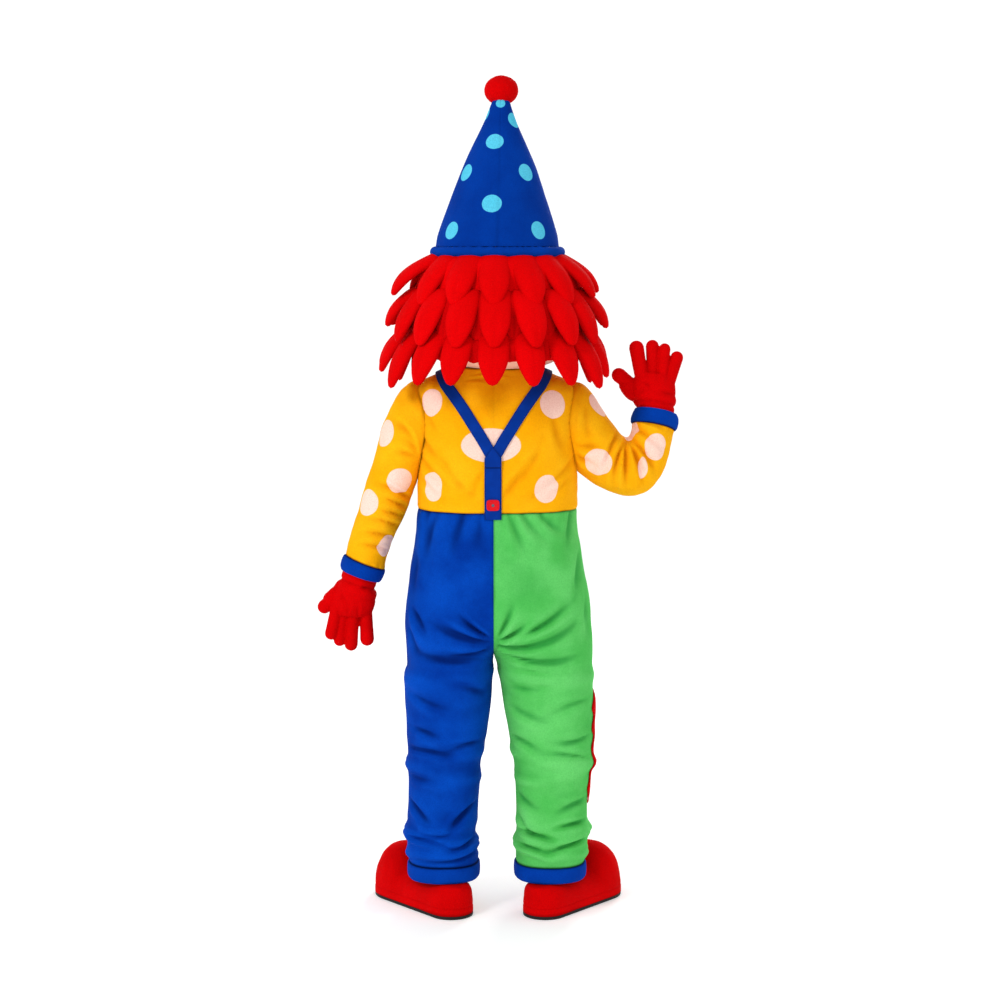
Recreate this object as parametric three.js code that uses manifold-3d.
// A clown mascot costume, worn but with no wearer: pointed hat, padded head with leaf-shaped hair,
// dotted shirt, suspenders, two-coloured trousers, gloves and shoes. Millimetres, +Z up.
// Heights in the tables are above the floor; the group is lowered so that the origin is at the
// shoulders, where the wearer carries the costume. +X is the wearer's right, +Y is forwards.

import * as THREE from 'three';
import { mergeVertices } from 'three/addons/utils/BufferGeometryUtils.js';
import Module from 'manifold-3d';

const wasm = await Module();
wasm.setup();

// Driving dimensions.
const shoulderHeight = 1480;
const seamGap = 0.3;
const clothThickness = 3;
const layGap = 0.8;
const centreX = -12;
const roundness = 2.35;

// Colours, with one material for each kind of cloth.
const materials = {
  hatBlue: cloth(0x0a3f9e),
  red: cloth(0xd4101a),
  skin: cloth(0xf3bfa6),
  yellow: cloth(0xfcae14),
  trouserBlue: cloth(0x0b3f9c),
  trouserGreen: cloth(0x5fc466),
  strapBlue: cloth(0x0a3a96),
  white: hard(0xf4f4f2, 0.35),
  black: hard(0x141214, 0.4),
  button: hard(0xc4141d, 0.35),
  rubber: hard(0x1a1718, 0.7),
};

function cloth(color) {
  return new THREE.MeshStandardMaterial({ color, roughness: 0.9, metalness: 0 });
}

function hard(color, roughness) {
  return new THREE.MeshStandardMaterial({ color, roughness, metalness: 0 });
}

const costume = new THREE.Group();
costume.name = 'clown_costume';
costume.position.z = -shoulderHeight;

function add(name, geometry, material) {
  const mesh = new THREE.Mesh(geometry, material);
  mesh.name = name;
  costume.add(mesh);
}

// A smooth value between the rows of a table, looked up by one of its columns.
function valueAt(rows, key, column, at) {
  const rising = rows[1][key] > rows[0][key];
  let index = 0;
  while (index < rows.length - 2 && (rising ? at > rows[index + 1][key] : at < rows[index + 1][key])) index += 1;
  const before = rows[Math.max(index - 1, 0)];
  const from = rows[index];
  const to = rows[index + 1];
  const after = rows[Math.min(index + 2, rows.length - 1)];
  const span = to[key] - from[key];
  const t = Math.min(Math.max((at - from[key]) / span, 0), 1);
  const slopeFrom = ((to[column] - before[column]) / (to[key] - before[key])) * span;
  const slopeTo = ((after[column] - from[column]) / (after[key] - from[key])) * span;
  const t2 = t * t;
  const t3 = t2 * t;
  return (2 * t3 - 3 * t2 + 1) * from[column] + (t3 - 2 * t2 + t) * slopeFrom
    + (3 * t2 - 2 * t3) * to[column] + (t3 - t2) * slopeTo;
}

function rowAt(table, key, at) {
  const row = {};
  for (const column of Object.keys(table[0])) row[column] = valueAt(table, key, column, at);
  row[key] = at;
  return row;
}

function named(columns, rows) {
  return rows.map((row) => Object.fromEntries(columns.map((column, index) => [column, row[index]])));
}

function rounded(value, power) {
  return Math.sign(value) * Math.abs(value) ** (2 / power);
}

function steps(from, to, count) {
  return Array.from({ length: count + 1 }, (_, index) => from + ((to - from) * index) / count);
}

// Closed surfaces from rings of points.
function geometryOf(points, triangles) {
  const geometry = new THREE.BufferGeometry();
  geometry.setAttribute('position', new THREE.Float32BufferAttribute(points.flatMap((p) => [p.x, p.y, p.z]), 3));
  geometry.setIndex(triangles);
  return outward(geometry);
}

// Turns the faces of a closed geometry over when its signed volume is negative.
function outward(geometry) {
  const at = geometry.getAttribute('position');
  const index = Array.from(geometry.getIndex().array);
  const corner = [new THREE.Vector3(), new THREE.Vector3(), new THREE.Vector3()];
  let volume = 0;
  for (let k = 0; k < index.length; k += 3) {
    corner.forEach((vector, side) => vector.fromBufferAttribute(at, index[k + side]));
    volume += corner[0].dot(corner[1].clone().cross(corner[2]));
  }
  if (volume < 0) {
    for (let k = 0; k < index.length; k += 3) [index[k], index[k + 1]] = [index[k + 1], index[k]];
    geometry.setIndex(index);
  }
  return geometry;
}

function bands(rings, width, first, closed) {
  const triangles = [];
  const columns = closed ? width : width - 1;
  for (let row = 0; row < rings - 1; row += 1) {
    for (let column = 0; column < columns; column += 1) {
      const next = (column + 1) % width;
      const a = first + row * width + column;
      const b = first + row * width + next;
      triangles.push(a, b, b + width, a, b + width, a + width);
    }
  }
  return triangles;
}

// A filled body through closed rings, its two ends closed by fans.
function filled(rings) {
  const width = rings[0].length;
  const points = rings.flat();
  const triangles = bands(rings.length, width, 0, true);
  const ends = [rings[0], rings[rings.length - 1]];
  ends.forEach((ring, end) => {
    const middle = ring.reduce((sum, point) => sum.add(point), new THREE.Vector3()).divideScalar(width);
    const centre = points.push(middle) - 1;
    const first = end === 0 ? 0 : (rings.length - 1) * width;
    for (let column = 0; column < width; column += 1) {
      const pair = [first + column, first + ((column + 1) % width)];
      if (end === 0) pair.reverse();
      triangles.push(centre, ...pair);
    }
  });
  return geometryOf(points, triangles);
}

// A wall between an outer and an inner grid of points; a closed grid is a tube, an open one a panel.
function wall(outer, inner, closed) {
  const width = outer[0].length;
  const rows = outer.length;
  const points = [...outer.flat(), ...inner.flat()];
  const offset = rows * width;
  const triangles = bands(rows, width, 0, closed);
  for (const [a, b, c] of triples(bands(rows, width, offset, closed))) triangles.push(a, c, b);
  const rim = (a, b) => triangles.push(b, a, a + offset, b, a + offset, b + offset);
  const last = (rows - 1) * width;
  for (let column = 0; column < (closed ? width : width - 1); column += 1) {
    const next = (column + 1) % width;
    rim(column, next);
    rim(last + next, last + column);
  }
  for (let row = 0; !closed && row < rows - 1; row += 1) {
    rim((row + 1) * width, row * width);
    rim(row * width + width - 1, (row + 1) * width + width - 1);
  }
  return geometryOf(points, triangles);
}

function triples(list) {
  return Array.from({ length: list.length / 3 }, (_, index) => list.slice(index * 3, index * 3 + 3));
}

// Solids for cutting and joining.
function solid(geometry) {
  const bare = geometry.clone();
  bare.deleteAttribute('normal');
  bare.deleteAttribute('uv');
  const merged = mergeVertices(bare, 1e-4);
  const whole = triples(Array.from(merged.getIndex().array)).filter(([a, b, c]) => a !== b && b !== c && c !== a);
  return new wasm.Manifold(new wasm.Mesh({
    numProp: 3,
    vertProperties: new Float32Array(merged.getAttribute('position').array),
    triVerts: new Uint32Array(whole.flat()),
  }));
}

function surface(body) {
  const mesh = body.getMesh();
  const geometry = new THREE.BufferGeometry();
  geometry.setAttribute('position', new THREE.BufferAttribute(new Float32Array(mesh.vertProperties), 3));
  geometry.setIndex(Array.from(mesh.triVerts));
  return geometry;
}

function block(x0, x1, y0, y1, z0, z1) {
  const box = new THREE.BoxGeometry(x1 - x0, y1 - y0, z1 - z0);
  box.translate((x0 + x1) / 2, (y0 + y1) / 2, (z0 + z1) / 2);
  return solid(box);
}

// Torso: rings of the shirt, from the waist seam up to the neck edge.
const waistZ = 1146;
const neckZ = 1536;
const torsoRows = named(['z', 'left', 'right', 'back', 'front'], [
  [1146, -222, 219, -160, 172],
  [1200, -223, 220, -166, 180],
  [1260, -223, 220, -170, 182],
  [1330, -222, 220, -171, 178],
  [1390, -222, 220, -166, 168],
  [1440, -220, 219, -155, 152],
  [1475, -208, 200, -141, 136],
  [1500, -182, 164, -128, 122],
  [1520, -151, 130, -117, 112],
  [neckZ, -127, 105, -108, 104],
]);

// A point of the torso's outer surface: angle 0 is the centre of the back, positive towards +X.
function torsoPoint(angle, z, out = 0) {
  const row = rowAt(torsoRows, 'z', z);
  const side = rounded(Math.sin(angle), roundness);
  const depth = rounded(Math.cos(angle), roundness);
  const halfWidth = (side < 0 ? centreX - row.left : row.right - centreX) + out;
  const halfDepth = (depth > 0 ? -row.back : row.front) + out;
  return new THREE.Vector3(centreX + side * halfWidth, -depth * halfDepth, z);
}

function torsoRings(out, heights) {
  const turn = steps(0, 2 * Math.PI, 32).slice(0, -1);
  return heights.map((z) => turn.map((angle) => torsoPoint(angle, z, out)));
}

// Tubes given by two edge points of each section, in the plane of the photograph, and a half depth.
function edgeRings(rows, sides, inset) {
  return rows.map((row) => {
    const first = new THREE.Vector3(row.ax, 0, row.az);
    const second = new THREE.Vector3(row.bx, 0, row.bz);
    const middle = first.clone().add(second).multiplyScalar(0.5);
    const half = first.clone().sub(second).multiplyScalar(0.5);
    const radius = half.length() - inset;
    half.normalize();
    return steps(0, 2 * Math.PI, sides).slice(0, -1).map((angle) => middle.clone()
      .addScaledVector(half, radius * Math.cos(angle))
      .add(new THREE.Vector3(0, (row.depth - inset) * Math.sin(angle), 0)));
  });
}

// Moves the first or last ring further along the tube, so that a cutter passes its end.
function pastEnd(rings, atStart, distance) {
  const end = atStart ? rings[0] : rings[rings.length - 1];
  const before = atStart ? rings[1] : rings[rings.length - 2];
  const middle = (ring) => ring.reduce((sum, point) => sum.add(point), new THREE.Vector3()).divideScalar(ring.length);
  const along = middle(end).sub(middle(before)).normalize().multiplyScalar(distance);
  const moved = end.map((point) => point.clone().add(along));
  return atStart ? [moved, ...rings] : [...rings, moved];
}

const edgeColumns = ['ax', 'az', 'bx', 'bz', 'depth'];

const sleeveLeftRows = named(edgeColumns, [
  [-110, 1470, -110, 1290, 75],
  [-212, 1468, -185, 1262, 90],
  [-268, 1438, -200, 1252, 90],
  [-310, 1389, -212, 1240, 84],
  [-330, 1333, -222, 1222, 78],
  [-346, 1272, -230, 1199, 72],
  [-364, 1222, -241, 1172, 68],
  [-384, 1160, -264, 1116, 65],
  [-405, 1090, -295, 1052, 62],
  [-418, 1040, -310, 1001, 59],
  [-424, 1014, -317, 971.5, 57],
]);

const sleeveRightRows = named(edgeColumns, [
  [110, 1470, 110, 1290, 75],
  [212, 1468, 178, 1236, 92],
  [268, 1443, 222, 1208, 94],
  [308, 1389, 284, 1192, 90],
  [334, 1357, 345, 1177, 86],
  [349, 1344, 402, 1190, 80],
  [358, 1341, 446, 1226, 74],
  [365, 1346, 471, 1284, 67],
  [370, 1360, 484, 1332, 61],
  [372.5, 1379, 489, 1357, 57],
]);

function buildShirt() {
  const heights = [waistZ + seamGap / 2, 1230, 1310, 1380, 1430, 1465, 1490, 1512, neckZ];
  const grown = torsoRings(seamGap, [waistZ - 20, ...heights.slice(1)]);
  const torsoBody = solid(filled(grown));
  let shell = solid(wall(torsoRings(0, heights), torsoRings(-clothThickness, heights), true));
  const sleeves = [['sleeve_left', sleeveLeftRows], ['sleeve_right', sleeveRightRows]];
  for (const [name, rows] of sleeves) {
    const outer = solid(filled(edgeRings(rows, 16, 0)));
    const bore = solid(filled(pastEnd(pastEnd(edgeRings(rows, 12, clothThickness), true, 20), false, 20)));
    add(name, surface(outer.subtract(bore).subtract(torsoBody)), materials.yellow);
    shell = shell.subtract(bore);
  }
  const half = seamGap / 2;
  const low = waistZ - 50;
  const high = neckZ + 50;
  const panels = [
    ['shirt_back_left', block(-500, centreX - half, -500, -half, low, high)],
    ['shirt_back_right', block(centreX + half, 500, -500, -half, low, high)],
    ['shirt_front', block(-500, 500, half, 500, low, high)],
  ];
  for (const [name, region] of panels) add(name, surface(shell.intersect(region)), materials.yellow);
}

// Cuffs: padded bands past the ends of the sleeves.
const cuffLeftRows = named(edgeColumns, [
  [-425, 1013.7, -317, 971.2, 58],
  [-434, 1005, -318, 959, 61],
  [-440, 985, -326, 941, 61],
  [-438, 973, -331, 935, 57],
]);

const cuffRightRows = named(edgeColumns, [
  [372.5, 1379.3, 489, 1357.3, 57],
  [368, 1388, 496, 1366, 61],
  [374, 1410, 500, 1389, 61],
  [379, 1420, 496, 1400, 57],
]);

function buildCuffs() {
  const bore = 53.5;
  for (const [name, rows] of [['cuff_left', cuffLeftRows], ['cuff_right', cuffRightRows]]) {
    const inner = edgeRings(rows, 16, 0).map((ring, index) => {
      const middle = ring.reduce((sum, point) => sum.add(point), new THREE.Vector3()).divideScalar(ring.length);
      const row = rows[index];
      const across = new THREE.Vector3(row.ax - row.bx, 0, row.az - row.bz).normalize();
      return steps(0, 2 * Math.PI, 16).slice(0, -1).map((angle) => middle.clone()
        .addScaledVector(across, bore * Math.cos(angle))
        .add(new THREE.Vector3(0, (bore - 1) * Math.sin(angle), 0)));
    });
    add(name, wall(edgeRings(rows, 16, 0), inner, true), materials.trouserBlue);
  }
}

// Gloves: a palm tube and five fingers joined, then hollowed by the same shapes made smaller.
const fingerColumns = ['rootX', 'rootZ', 'tipX', 'tipZ', 'radius', 'shift'];

const gloves = [
  {
    name: 'glove_left',
    palm: named(edgeColumns, [
      [-426, 988.8, -331.6, 952.8, 50.2],
      [-437, 957, -342.5, 923, 49],
      [-446, 926, -341, 900, 44],
      [-461, 892, -343, 876, 38],
      [-462, 862, -352, 850, 33],
      [-450, 842, -366, 836, 24],
    ]),
    fingers: named(fingerColumns, [
      [-452, 880, -467, 791, 17, -4],
      [-434, 876, -446, 771, 17, 2],
      [-404, 872, -415, 759, 17, 3],
      [-372, 874, -373, 771, 16, -3],
      [-428, 918, -487, 864, 18, 8],
    ]),
  },
  {
    name: 'glove_right',
    palm: named(edgeColumns, [
      [382.8, 1394.4, 483.2, 1375.6, 50.2],
      [388.5, 1427, 487.5, 1409, 50],
      [374, 1450, 492, 1444, 44],
      [368, 1478, 491, 1474, 38],
      [376, 1506, 488, 1494, 33],
      [392, 1524, 476, 1514, 24],
    ]),
    fingers: named(fingerColumns, [
      [402, 1490, 384, 1590, 19, -4],
      [427, 1490, 425, 1594, 17, 2],
      [450, 1488, 457, 1586, 16, 3],
      [470, 1484, 491, 1563, 16.5, -3],
      [402, 1458, 334, 1514, 20, 8],
    ]),
  },
];

function fingerBody(finger, inset) {
  const radius = finger.radius - inset;
  const capsule = new THREE.CapsuleGeometry(
    radius, Math.hypot(finger.tipX - finger.rootX, finger.tipZ - finger.rootZ), inset > 0 ? 1 : 2, inset > 0 ? 6 : 8, 1);
  const along = new THREE.Vector3(finger.tipX - finger.rootX, 0, finger.tipZ - finger.rootZ).normalize();
  capsule.applyQuaternion(new THREE.Quaternion().setFromUnitVectors(new THREE.Vector3(0, 1, 0), along));
  capsule.translate((finger.rootX + finger.tipX) / 2, finger.shift, (finger.rootZ + finger.tipZ) / 2);
  return solid(capsule);
}

function gloveBody(glove, inset) {
  const rings = edgeRings(glove.palm, inset > 0 ? 8 : 12, inset);
  let body = solid(filled(inset > 0 ? pastEnd(rings, true, 20) : rings));
  for (const finger of glove.fingers) body = body.add(fingerBody(finger, inset));
  return body;
}

function buildGloves() {
  for (const glove of gloves) {
    const body = gloveBody(glove, 0).subtract(gloveBody(glove, clothThickness));
    add(glove.name, surface(body), materials.red);
  }
}

// Trousers: each leg is a ring that the centre plane cuts open above the crotch. The column named
// closing is 0 where the ring is half a hip and 1 where it closes on itself at the crotch.
const crotchZ = 734;
const hemTopZ = 140;
const legColumns = ['z', 'outer', 'inner', 'closing', 'back', 'front'];

const legLeftRows = named(legColumns, [
  [1145.7, -222, centreX, 0, -160, 172],
  [1124, -226, centreX, 0, -162, 173],
  [1082, -229, centreX, 0, -169, 177],
  [1039, -234, centreX, 0, -176, 181],
  [997, -240, centreX, 0, -180, 181],
  [955, -246, centreX, 0, -183, 180],
  [912, -252, centreX, 0.02, -185, 178],
  [870, -257, centreX, 0.12, -184, 174],
  [828, -260, centreX, 0.34, -180, 168],
  [790, -259, centreX, 0.62, -174, 160],
  [760, -257, centreX, 0.87, -166, 151],
  [crotchZ, -256, centreX - 0.3, 1, -158, 144],
  [700, -257, -14, 1, -150, 138],
  [628, -261, -17, 1, -141, 131],
  [560, -259, -24, 1, -133, 125],
  [485, -256, -37, 1, -125, 121],
  [440, -254, -49, 1, -120, 118],
  [370, -254, -51, 1, -113, 111],
  [312, -254, -56, 1, -108, 107],
  [254, -257, -61, 1, -106, 106],
  [196, -257, -64, 1, -107, 108],
  [160, -255, -57, 1, -105, 105],
  [hemTopZ + seamGap, -252, -56, 1, -100, 100],
]);

const legRightRows = named(legColumns, [
  [1145.7, 219, centreX, 0, -160, 172],
  [1124, 218, centreX, 0, -162, 173],
  [1082, 220, centreX, 0, -169, 177],
  [1039, 229, centreX, 0, -176, 181],
  [997, 237, centreX, 0, -180, 181],
  [955, 244, centreX, 0, -183, 180],
  [912, 252, centreX, 0.02, -185, 178],
  [870, 257, centreX, 0.12, -184, 174],
  [828, 260, centreX, 0.34, -180, 168],
  [790, 263, centreX, 0.62, -174, 160],
  [760, 264, centreX, 0.87, -166, 151],
  [crotchZ, 264, centreX + 0.3, 1, -158, 144],
  [700, 264, -2, 1, -150, 138],
  [628, 267, 10, 1, -141, 131],
  [560, 268, 22, 1, -133, 125],
  [485, 266, 34, 1, -125, 121],
  [440, 262, 42, 1, -120, 118],
  [370, 255, 48, 1, -113, 111],
  [312, 252, 51, 1, -108, 107],
  [254, 252, 53, 1, -106, 106],
  [196, 250, 48, 1, -107, 108],
  [160, 248, 50, 1, -105, 105],
  [hemTopZ + seamGap, 245, 50, 1, -100, 100],
]);

// The largest folds: soft rolls that stand out from the leg, around it, at these heights. Between the
// thighs they are pressed flat, so that the legs stay apart.
const legFolds = named(['z', 'height', 'depth', 'lean'], [
  [690, 26, 7, 18],
  [446, 18, 7, 22],
  [405, 16, 6, -18],
  [248, 17, 6, 14],
  [212, 14, 7, -12],
  [178, 13, 8, 10],
]);

function legFold(z, share) {
  let out = 0;
  for (const fold of legFolds) {
    const middle = fold.z + fold.lean * Math.cos(2 * Math.PI * share);
    out += fold.depth * Math.exp(-(((z - middle) / fold.height) ** 2));
  }
  const inside = Math.max(Math.cos(2 * Math.PI * share), 0) ** 2;
  const betweenThighs = THREE.MathUtils.smoothstep(z, 500, 620);
  return out * (1 - 0.9 * inside * betweenThighs);
}

// A point of a leg: share runs from the centre back (0) around the outside (0.5) to the front (1).
// Above the crotch a panel ends at the centre plane, and below it at the inside seam.
function legPoint(rows, share, z, out) {
  const row = rowAt(rows, 'z', z);
  const side = Math.sign(row.outer - row.inner);
  const closing = Math.min(Math.max(row.closing, 0), 1);
  const half = Math.abs(row.outer - row.inner) / (1 + closing);
  const middle = row.inner + side * closing * half;
  const edge = row.inner + side * (seamGap / 2);
  const reach = closing < 1 ? Math.min(Math.abs(edge - middle) / (half + out), 1) : 1;
  const open = Math.acos(Math.min(reach ** (roundness / 2), 1));
  const angle = open + share * (2 * Math.PI - 2 * open);
  const x = middle - side * rounded(Math.cos(angle), roundness) * (half + out);
  const depth = rounded(Math.sin(angle), roundness);
  return new THREE.Vector3(x, -depth * ((depth > 0 ? -row.back : row.front) + out), z);
}

const legHeights = [waistZ - seamGap, 1082, 997, 912, 840, 790, 760, crotchZ, 700, 672, 628, 540, 485, 450, 425,
  400, 350, 290, 250, 230, 211, 193, 175, hemTopZ + seamGap];

function buildTrousers() {
  const legs = [
    ['left', legLeftRows, materials.trouserBlue],
    ['right', legRightRows, materials.trouserGreen],
  ];
  const margin = 0.0003;
  for (const [side, rows, material] of legs) {
    for (const [face, from, to] of [['back', margin, 0.5 - margin], ['front', 0.5 + margin, 1 - margin]]) {
      const shares = steps(from, to, 7);
      const fold = (share, z) => (z < crotchZ - 20 ? legFold(z, share) : 0);
      const outer = legHeights.map((z) => shares.map((share) => legPoint(rows, share, z, fold(share, z))));
      const inner = legHeights.map((z) => shares.map((share) => legPoint(rows, share, z, -clothThickness)));
      add(`trousers_${face}_${side}`, wall(outer, inner, false), material);
    }
  }
}

// Hem bands below the legs.
const hemBottomZ = 96;

function buildHems() {
  const profile = named(['z', 'out'], [
    [hemTopZ, 0],
    [(hemTopZ + hemBottomZ) / 2, 5],
    [hemBottomZ, 0],
  ]);
  const shares = steps(0, 1, 18).slice(0, -1);
  for (const [side, rows] of [['left', legLeftRows], ['right', legRightRows]]) {
    const ring = (z, out) => shares.map((share) => {
      const point = legPoint(rows, share, hemTopZ + seamGap, out);
      point.z = z;
      return point;
    });
    const outer = profile.map((row) => ring(row.z, row.out));
    const inner = profile.map((row) => ring(row.z, -clothThickness - 1));
    add(`hem_band_${side}`, wall(outer, inner, true), materials.trouserBlue);
  }
}

// A patch sewn over the right knee, outside and in front, with a wavy edge. Its rows and columns are
// those of the trousers, so that it follows their facets.
function buildKneePatch() {
  const patch = { top: 618, bottom: 312, back: 0.455, front: 0.775, lift: 1.3 };
  const heights = [patch.top, ...legHeights.filter((z) => z < patch.top && z > patch.bottom), patch.bottom];
  const seams = [0.5, 0.5714, 0.6429, 0.7143];
  const grid = (lift) => heights.map((z, row) => {
    const wave = 0.012 * (row % 2 === 0 ? 1 : -1);
    return [patch.back + wave, ...seams, patch.front + wave].map(
      (share) => legPoint(legRightRows, share, z, legFold(z, share) + lift));
  });
  add('knee_patch', wall(grid(patch.lift + clothThickness), grid(patch.lift), false), materials.red);
}

// Suspenders lie on the shirt and, below the waist seam, on the top of the trousers.
const bodyRows = [
  ...named(['z', 'left', 'right', 'back', 'front'], [[1082, -229, 220, -169, 177], [1124, -226, 218, -162, 173]]),
  ...torsoRows,
];

// A point on shirt or trousers: across from the centre line, at a height, on the back or the front.
function bodyPoint(across, z, face, out = 0) {
  const row = rowAt(bodyRows, 'z', z);
  const halfWidth = across < 0 ? centreX - row.left : row.right - centreX;
  const share = Math.min(Math.abs(across) / halfWidth, 1);
  const angle = Math.asin(share ** (roundness / 2));
  const depth = Math.cos(angle) ** (2 / roundness);
  const y = face === 'back' ? depth * (row.back - out) : depth * (row.front + out);
  return new THREE.Vector3(centreX + across, y, z);
}

// How far a point is outside the ring at its height: 0 on the surface, negative inside.
function bodyLevel(point) {
  const row = rowAt(bodyRows, 'z', point.z);
  const halfWidth = point.x < centreX ? centreX - row.left : row.right - centreX;
  const halfDepth = point.y < 0 ? -row.back : row.front;
  const power = roundness;
  return (Math.abs(point.x - centreX) / halfWidth) ** power + (Math.abs(point.y) / halfDepth) ** power - 1;
}

function bodyNormal(point) {
  const step = 0.5;
  const slope = ['x', 'y', 'z'].map((axis) => {
    const ahead = point.clone();
    const behind = point.clone();
    ahead[axis] += step;
    behind[axis] -= step;
    return (bodyLevel(ahead) - bodyLevel(behind)) / (2 * step);
  });
  return new THREE.Vector3(...slope);
}

// Moves a point near the body onto its surface and then outwards by a lift.
function onBody(point, lift) {
  const moved = point.clone();
  for (let round = 0; round < 6; round += 1) {
    const slope = bodyNormal(moved);
    moved.addScaledVector(slope, -bodyLevel(moved) / slope.lengthSq());
  }
  return moved.addScaledVector(bodyNormal(moved).normalize(), lift);
}

const strap = { halfWidth: 16, thickness: 3, lift: 1, shoulderLift: 2.2, shoulderZ: 1470 };
const yoke = { tipZ: 1326, shoulderZ: 1300, bottomZ: 1273, halfWidth: 23, middle: -1.4 };

// The route of one strap from the yoke on the back, over the shoulder, to the waist in front.
const strapRoute = named(['across', 'z', 'face'], [
  [14, 1320, 'back'],
  [26, 1342, 'back'],
  [51, 1382, 'back'],
  [80, 1430, 'back'],
  [103, 1467, 'back'],
  [117, 1489, 'back'],
  [127, 1507, 'back'],
  [133.5, 1516.5, 'back'],
  [136.5, 1521.5, 'front'],
  [133, 1513, 'front'],
  [128, 1494, 'front'],
  [120, 1455, 'front'],
  [115, 1400, 'front'],
  [111, 1330, 'front'],
  [108, 1250, 'front'],
  [106, 1180, 'front'],
  [105, 1126, 'front'],
]);

function buildSuspenders() {
  for (const [name, side] of [['suspender_left', -1], ['suspender_right', 1]]) {
    const stops = strapRoute.map((row) => bodyPoint(row.across * side, row.z, row.face));
    const last = 2 * (strapRoute.length - 1);
    const route = new THREE.CatmullRomCurve3(stops, false, 'centripetal').getPoints(last);
    const start = (lift) => [0.6, 0.3, 0].map((share) => bodyPoint(
      yoke.middle + side * (2.2 + (1 - share / 0.6) * (yoke.halfWidth + 0.4)),
      yoke.shoulderZ + 1.6 + (share / 0.6) * (yoke.tipZ - yoke.shoulderZ), 'back', lift));
    const edges = (lift) => route.map((point, index) => {
      if (index === 0) return side > 0 ? start(lift) : start(lift).reverse();
      const along = route[Math.min(index + 1, last)].clone().sub(route[Math.max(index - 1, 0)]).normalize();
      const across = bodyNormal(point).normalize().cross(along).normalize();
      const extra = strap.shoulderLift * Math.max(point.z - strap.shoulderZ, 0) / (neckZ - strap.shoulderZ);
      return [-1, 0, 1].map(
        (edge) => onBody(point.clone().addScaledVector(across, edge * strap.halfWidth), lift + extra));
    });
    add(name, wall(edges(strap.lift + strap.thickness), edges(strap.lift), false), materials.strapBlue);
  }
  const strip = (rows, lift) => rows.map((row) => [-1, 0, 1].map(
    (edge) => bodyPoint(yoke.middle + edge * row.halfWidth, row.z, 'back', lift)));
  const pentagon = named(['z', 'halfWidth'], [
    [yoke.tipZ, 1.5],
    [yoke.shoulderZ, yoke.halfWidth],
    [yoke.bottomZ, yoke.halfWidth],
  ]);
  const lower = steps(yoke.bottomZ - seamGap, 1130, 5).map((z) => ({ z, halfWidth: yoke.halfWidth }));
  const backLift = layGap + 0.3;
  for (const [name, rows] of [['suspender_yoke', pentagon], ['suspender_back', lower]]) {
    add(name, wall(strip(rows, backLift + 4), strip(rows, backLift), false), materials.strapBlue);
  }
}

// Buttons: rounded plates with one hole, on the ends of the suspenders.
const button = { halfWidth: 17.5, halfHeight: 15, corner: 7, hole: 3, thickness: 4, clear: layGap + 0.9 };

function buttonPlate() {
  const { halfWidth, halfHeight, corner } = button;
  const outline = new THREE.Shape();
  outline.absarc(halfWidth - corner, halfHeight - corner, corner, 0, Math.PI / 2);
  outline.absarc(corner - halfWidth, halfHeight - corner, corner, Math.PI / 2, Math.PI);
  outline.absarc(corner - halfWidth, corner - halfHeight, corner, Math.PI, 1.5 * Math.PI);
  outline.absarc(halfWidth - corner, corner - halfHeight, corner, 1.5 * Math.PI, 2 * Math.PI);
  const hole = new THREE.Path();
  hole.absarc(0, 0, button.hole, 0, 2 * Math.PI, true);
  outline.holes.push(hole);
  return new THREE.ExtrudeGeometry(outline, { depth: button.thickness, bevelEnabled: false, curveSegments: 2 });
}

function buildButtons() {
  const places = named(['name', 'across', 'z', 'face', 'below'], [
    ['back_button', yoke.middle, 1171, 'back', 4],
    ['front_button_left', -106, 1172, 'front', strap.thickness],
    ['front_button_right', 106, 1172, 'front', strap.thickness],
  ]);
  for (const row of places) {
    const reach = 14;
    const upper = bodyPoint(row.across, row.z + reach, row.face);
    const lower = bodyPoint(row.across, row.z - reach, row.face);
    const up = upper.clone().sub(lower).normalize();
    const step = row.across < 0 ? -reach : reach;
    const beside = bodyPoint(row.across + step, row.z, row.face).sub(bodyPoint(row.across - step, row.z, row.face));
    const side = row.face === 'back' ? beside.multiplyScalar(Math.sign(step)) : beside.multiplyScalar(-Math.sign(step));
    const normal = side.clone().cross(up).normalize();
    const plate = buttonPlate();
    const turned = new THREE.Matrix4().makeBasis(up.clone().cross(normal).normalize(), up, normal);
    const seat = bodyPoint(row.across, row.z, row.face).addScaledVector(normal, row.below + button.clear);
    plate.applyMatrix4(turned.setPosition(seat));
    add(row.name, plate, materials.button);
  }
}

// Bodies that are round about an upright axis through a middle point.
function roundRings(profile, sides, x, y) {
  const turn = steps(0, 2 * Math.PI, sides).slice(0, -1);
  return profile.map((row) => turn.map((angle) => new THREE.Vector3(
    x + row.radius * Math.sin(angle), y - row.radius * Math.cos(angle), row.z)));
}

function grownProfile(profile, out) {
  return profile.map((row) => ({ z: row.z, radius: row.radius + out }));
}

// Head: a padded shell, open at the neck.
const headRows = named(['z', 'radius'], [
  [1536.3, 117],
  [1548, 150],
  [1572, 186],
  [1620, 212],
  [1680, 222],
  [1740, 219],
  [1790, 205],
  [1825, 186],
  [1850, 158.5],
  [1875, 120],
  [1890, 75],
  [1896, 24],
]);
const headWall = 8;
const headSides = 24;
const headX = -1;
const headY = 6;

const eye = { x: 62, z: 1735, halfWidth: 34, standsOut: 15, halfHeight: 46 };
const pupil = { x: 60, z: 1728, turnX: 58, halfWidth: 15, halfThickness: 6, halfHeight: 21, standsOut: 16.5 };
const nose = { x: 0, z: 1668, halfWidth: 40, standsOut: 42, halfHeight: 38 };
const mouth = { z: 1592, rise: 34, halfLength: 78, halfHeight: 9, standsOut: 10, turnZ: 1600 };

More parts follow.
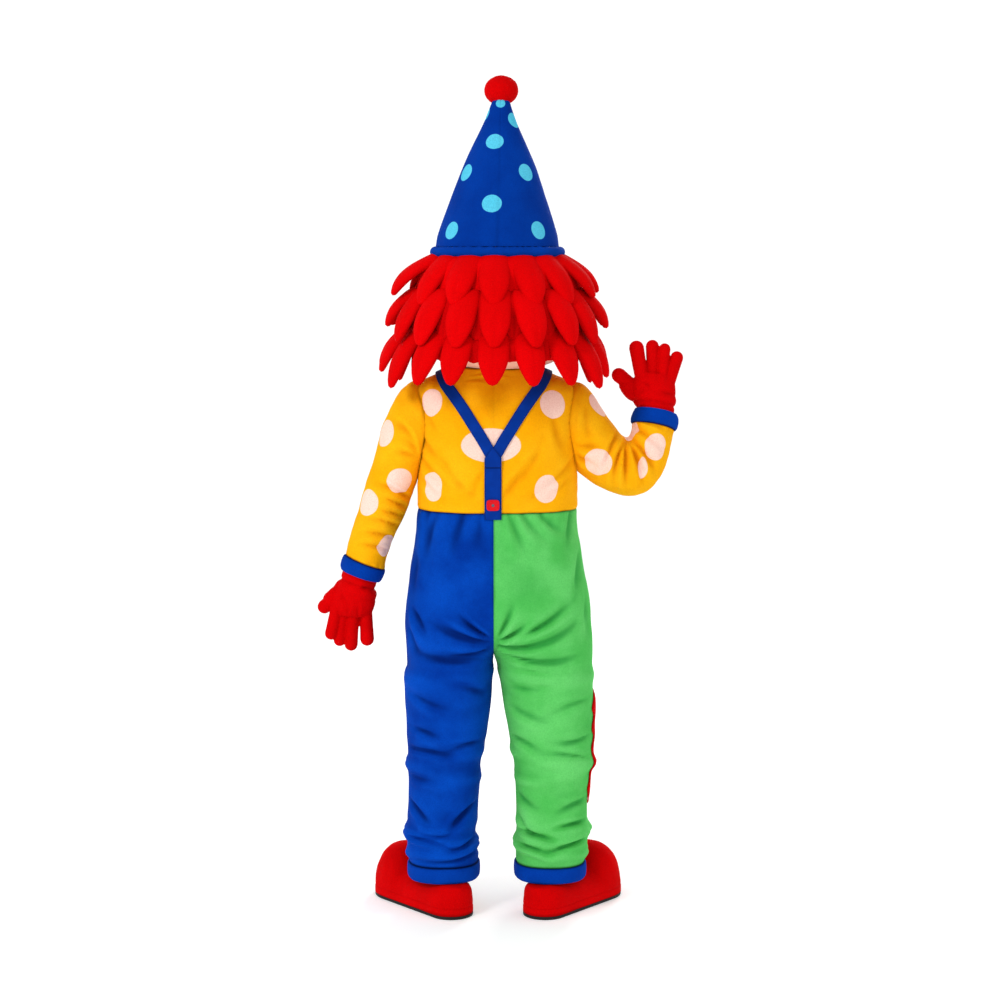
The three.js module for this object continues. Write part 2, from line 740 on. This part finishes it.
function headRadius(z) {
  return valueAt(headRows, 'z', 'radius', z);
}

function buildHead() {
  const outer = solid(filled(roundRings(headRows, headSides, headX, headY)));
  const cavity = grownProfile(headRows.filter((row, index) => index % 2 === 1 || index === 0), -headWall);
  cavity[0] = { z: headRows[0].z - 1, radius: headRows[0].radius - headWall - 3 };
  cavity[cavity.length - 1].z -= headWall;
  const shell = outer.subtract(solid(filled(roundRings(cavity, headSides, headX, headY))));
  add('head_shell', surface(shell), materials.skin);
  const clear = solid(filled(roundRings(grownProfile(headRows, seamGap), headSides, headX, headY)));
  const face = [
    ['eye_white_left', { ...eye, x: -eye.x }, materials.white],
    ['eye_white_right', eye, materials.white],
    ['nose', nose, materials.red],
  ];
  for (const [name, form, material] of face) {
    add(name, surface(faceBall(form, 0).subtract(clear)), material);
  }
  buildPupils();
  buildMouth();
}

// A padded ball sewn to the face, turned to the head's own curve.
function faceBall(form, grown) {
  const ball = new THREE.SphereGeometry(1, 14, 8);
  ball.scale(form.halfWidth + grown, form.standsOut + grown, form.halfHeight + grown);
  const turn = Math.asin(form.x / headRadius(form.z));
  ball.rotateZ(-turn);
  ball.translate(headX + form.x, headY + Math.cos(turn) * headRadius(form.z), form.z);
  return solid(ball);
}

// Pupils: discs laid on the whites of the eyes.
function buildPupils() {
  for (const [name, side] of [['pupil_left', -1], ['pupil_right', 1]]) {
    const disc = new THREE.SphereGeometry(1, 8, 4);
    disc.scale(pupil.halfWidth, pupil.halfThickness, pupil.halfHeight);
    const turn = Math.asin((side * pupil.turnX) / headRadius(pupil.z));
    disc.rotateZ(-turn);
    const reach = headRadius(pupil.z) * Math.cos(turn) + pupil.standsOut;
    disc.translate(headX + side * pupil.x, headY + reach, pupil.z);
    const white = faceBall({ ...eye, x: side * eye.x }, seamGap);
    add(name, surface(solid(disc).subtract(white)), materials.black);
  }
}

// Mouth: a padded smile that follows the head.
function buildMouth() {
  const grid = (lift) => steps(-1, 1, 10).map((share) => steps(-1, 1, 2).map((across) => {
    const height = across * mouth.halfHeight * Math.sqrt(1.06 - share * share);
    const z = mouth.z + mouth.rise * share * share + height;
    const radius = headRadius(z) + lift * (1 - 0.75 * across * across);
    const turn = (share * mouth.halfLength) / headRadius(mouth.turnZ);
    return new THREE.Vector3(headX + radius * Math.sin(turn), headY + radius * Math.cos(turn), z);
  }));
  add('mouth', wall(grid(mouth.standsOut), grid(0), false), materials.red);
}

// Hat: a cone of cloth, a padded roll around its edge and a plush ball on its tip.
const coneBaseZ = 1866;
const hatRows = named(['z', 'radius', 'x'], [
  [coneBaseZ, 170, -2],
  [1900, 164, -1.5],
  [1983, 135, 1],
  [2090, 97, 4],
  [2196, 48, 6],
  [2240, 31, 7],
  [2262, 22, 8],
  [2272, 10, 8],
]);

const brim = { top: coneBaseZ - seamGap, innerRadius: 158, clear: 0.4 };
const brimRows = named(['below', 'outer'], [
  [0, 173],
  [5, 182],
  [brim.top - 1850, 186],
  [23, 183],
  [28, 177],
]);
const pompom = { z: 2290, y: 12, x: 1, halfWidth: 48, halfHeight: 41 };

function hatRings(out, sides, rows) {
  return rows.map((row) => roundRings([{ z: row.z, radius: row.radius + out }], sides, row.x, headY)[0]);
}

function buildHat() {
  const tip = hatRows[hatRows.length - 1];
  const bore = hatRows.filter((row, index) => index % 2 === 0).map((row) => ({ ...row }));
  bore[0].z -= clothThickness;
  const cone = solid(filled(hatRings(0, 24, hatRows))).subtract(solid(filled(hatRings(-clothThickness, 24, bore))));
  add('hat_cone', surface(cone), materials.hatBlue);
  const outer = brimRows.map((row) => ({ z: brim.top - row.below, radius: row.outer }));
  const inner = outer.map((row) => ({ z: row.z, radius: Math.max(headRadius(row.z), brim.innerRadius) + brim.clear }));
  const [outside, inside] = [outer, inner].map((profile) => roundRings(profile, headSides, headX, headY));
  add('hat_brim', wall(outside, inside, true), materials.hatBlue);
  const ball = new THREE.SphereGeometry(1, 12, 8);
  ball.rotateX(Math.PI / 2);
  ball.scale(pompom.halfWidth, pompom.halfWidth, pompom.halfHeight);
  ball.translate(tip.x + pompom.x, headY + pompom.y, pompom.z);
  const point = solid(filled(hatRings(seamGap, 24, hatRows)));
  add('hat_pompom', surface(solid(ball).subtract(point)), materials.red);
}

// Hair: three tiers of stuffed leaf-shaped locks, each tier fused at its roots to a backing strip
// that goes around the head and leaves the face free. Angles are in degrees from the centre back.
const hairTiers = [
  { name: 'hair_tier_1', root: 1823, count: 11, first: -127, step: 25, drop: 112, sideDrop: 80, reach: 93, stand: 3.4 },
  { name: 'hair_tier_2', root: 1738, count: 13, first: -125, step: 20.6, drop: 137, sideDrop: 84, reach: 77, stand: 1.6 },
  { name: 'hair_tier_3', root: 1648, count: 13, first: -120, step: 19.6, drop: 147, sideDrop: 100, reach: 97, stand: -0.3 },
];

// Sections of one lock from root to tip: how far down and out along it, and its width and thickness.
const lockRows = named(['along', 'out', 'width', 'thickness'], [
  [0, 0.02, 0.72, 0.6],
  [0.35, 0.5, 1.04, 1],
  [0.75, 0.87, 0.84, 0.8],
  [1, 1, 0.14, 0.25],
]);

const lock = { halfThick: 13, halfWide: 41, rootDepth: 7, backAngle: 58, sideAngle: 84 };

function lockBody(tier, angle, radius) {
  const degrees = Math.abs(THREE.MathUtils.radToDeg(angle));
  const turned = THREE.MathUtils.smoothstep(degrees, lock.backAngle, lock.sideAngle);
  const drop = tier.drop + turned * (tier.sideDrop - tier.drop);
  const away = new THREE.Vector3(Math.sin(angle), -Math.cos(angle), 0);
  const across = new THREE.Vector3(Math.cos(angle), Math.sin(angle), 0);
  const middles = lockRows.map((row) => new THREE.Vector3(headX, headY, tier.root - row.along * drop)
    .addScaledVector(away, radius + lock.rootDepth + row.out * tier.reach));
  const rings = lockRows.map((row, index) => {
    const before = middles[Math.max(index - 1, 0)];
    const after = middles[Math.min(index + 1, middles.length - 1)];
    const along = after.clone().sub(before).normalize();
    const normal = across.clone().cross(along).normalize();
    return steps(0, 2 * Math.PI, 4).slice(0, -1).map((turn) => middles[index].clone()
      .addScaledVector(across, lock.halfWide * row.width * Math.cos(turn))
      .addScaledVector(normal, lock.halfThick * row.thickness * Math.sin(turn)));
  });
  return solid(filled(rings));
}

function buildHair() {
  const strip = { height: 24, thickness: 9 };
  for (const tier of hairTiers) {
    const angles = Array.from({ length: tier.count }, (_, index) => tier.first + index * tier.step);
    const turns = steps(angles[0] - 4, angles[angles.length - 1] + 4, 22).map((angle) => THREE.MathUtils.degToRad(angle));
    const heights = steps(tier.root - strip.height / 2, tier.root + strip.height / 2, 1);
    const grid = (out) => heights.map((z) => turns.map((turn) => new THREE.Vector3(
      headX + (headRadius(z) + out) * Math.sin(turn), headY - (headRadius(z) + out) * Math.cos(turn), z)));
    let body = solid(wall(grid(tier.stand + strip.thickness), grid(tier.stand), false));
    for (const angle of angles) body = body.add(lockBody(tier, THREE.MathUtils.degToRad(angle), headRadius(tier.root)));
    add(tier.name, surface(body), materials.red);
  }
}

// Shoes: a plush upper, hollow and open at the ankle, on a flat rubber sole. Places on a shoe are
// measured along it from the middle of the heel.
const shoe = { heelX: 132, heelY: -62, toeOut: 0.571, length: 240, heelRadius: 62, toeRadius: 95, wall: 4 };
const soleThickness = 9;
const ankle = { along: 22, halfLength: 58, halfWidth: 48, bottom: 60, top: 130 };

const shoeRows = named(['along', 'halfWidth', 'height'], [
  [-61, 10, 80],
  [-54, 29, 90],
  [-36, 50, 94],
  [-5, 62, 95],
  [60, 70, 95.7],
  [125, 80, 95.7],
  [170, 86, 95.7],
  [193, 90, 130],
  [215, 93, 151],
  [240, 95, 157],
  [272, 90, 148],
  [304, 70, 119],
  [324, 42, 80],
  [334, 10, 38],
]);

function shoePoint(side, along, across, z) {
  const forward = new THREE.Vector3(side * Math.sin(shoe.toeOut), Math.cos(shoe.toeOut), 0);
  const sideways = new THREE.Vector3(Math.cos(shoe.toeOut), -side * Math.sin(shoe.toeOut), 0);
  return new THREE.Vector3(side * shoe.heelX, shoe.heelY, z)
    .addScaledVector(forward, along).addScaledVector(sideways, across);
}

function upperRings(side, inset, count) {
  const floor = soleThickness + seamGap - inset * 2;
  const last = shoeRows.length - 1;
  return shoeRows.map((row, index) => {
    const along = row.along + (index === 0 ? inset : 0) - (index === last ? inset : 0);
    const halfWidth = Math.max(row.halfWidth - inset, 3);
    const top = row.height - inset - floor;
    return steps(0, Math.PI, count).map((turn) => shoePoint(
      side, along, halfWidth * rounded(Math.cos(turn), 2.5), floor + top * rounded(Math.sin(turn), 2.5)));
  });
}

function buildShoes() {
  for (const [name, side] of [['left', -1], ['right', 1]]) {
    const opening = solid(filled([ankle.bottom, ankle.top].map((z) => steps(0, 2 * Math.PI, 12).slice(0, -1).map(
      (turn) => shoePoint(
        side, ankle.along + ankle.halfLength * Math.cos(turn), ankle.halfWidth * Math.sin(turn), z)))));
    const upper = solid(filled(upperRings(side, 0, 10)))
      .subtract(solid(filled(upperRings(side, shoe.wall, 8)))).subtract(opening);
    add(`shoe_upper_${name}`, surface(upper), materials.red);
    const lean = Math.asin((shoe.toeRadius - shoe.heelRadius) / shoe.length);
    const toe = steps(-Math.PI / 2 - lean, Math.PI / 2 + lean, 12).map(
      (turn) => [shoe.length + shoe.toeRadius * Math.cos(turn), shoe.toeRadius * Math.sin(turn)]);
    const heel = steps(Math.PI / 2 + lean, 1.5 * Math.PI - lean, 8).map(
      (turn) => [shoe.heelRadius * Math.cos(turn), shoe.heelRadius * Math.sin(turn)]);
    const outline = [...toe, ...heel];
    const sole = filled([0, soleThickness].map((z) => outline.map(([along, across]) => shoePoint(side, along, across, z))));
    add(`shoe_sole_${name}`, sole, materials.rubber);
  }
}

buildShirt();
buildCuffs();
buildGloves();
buildTrousers();
buildHems();
buildKneePatch();
buildSuspenders();
buildHead();
buildHat();
buildHair();
buildButtons();
buildShoes();

export default costume;
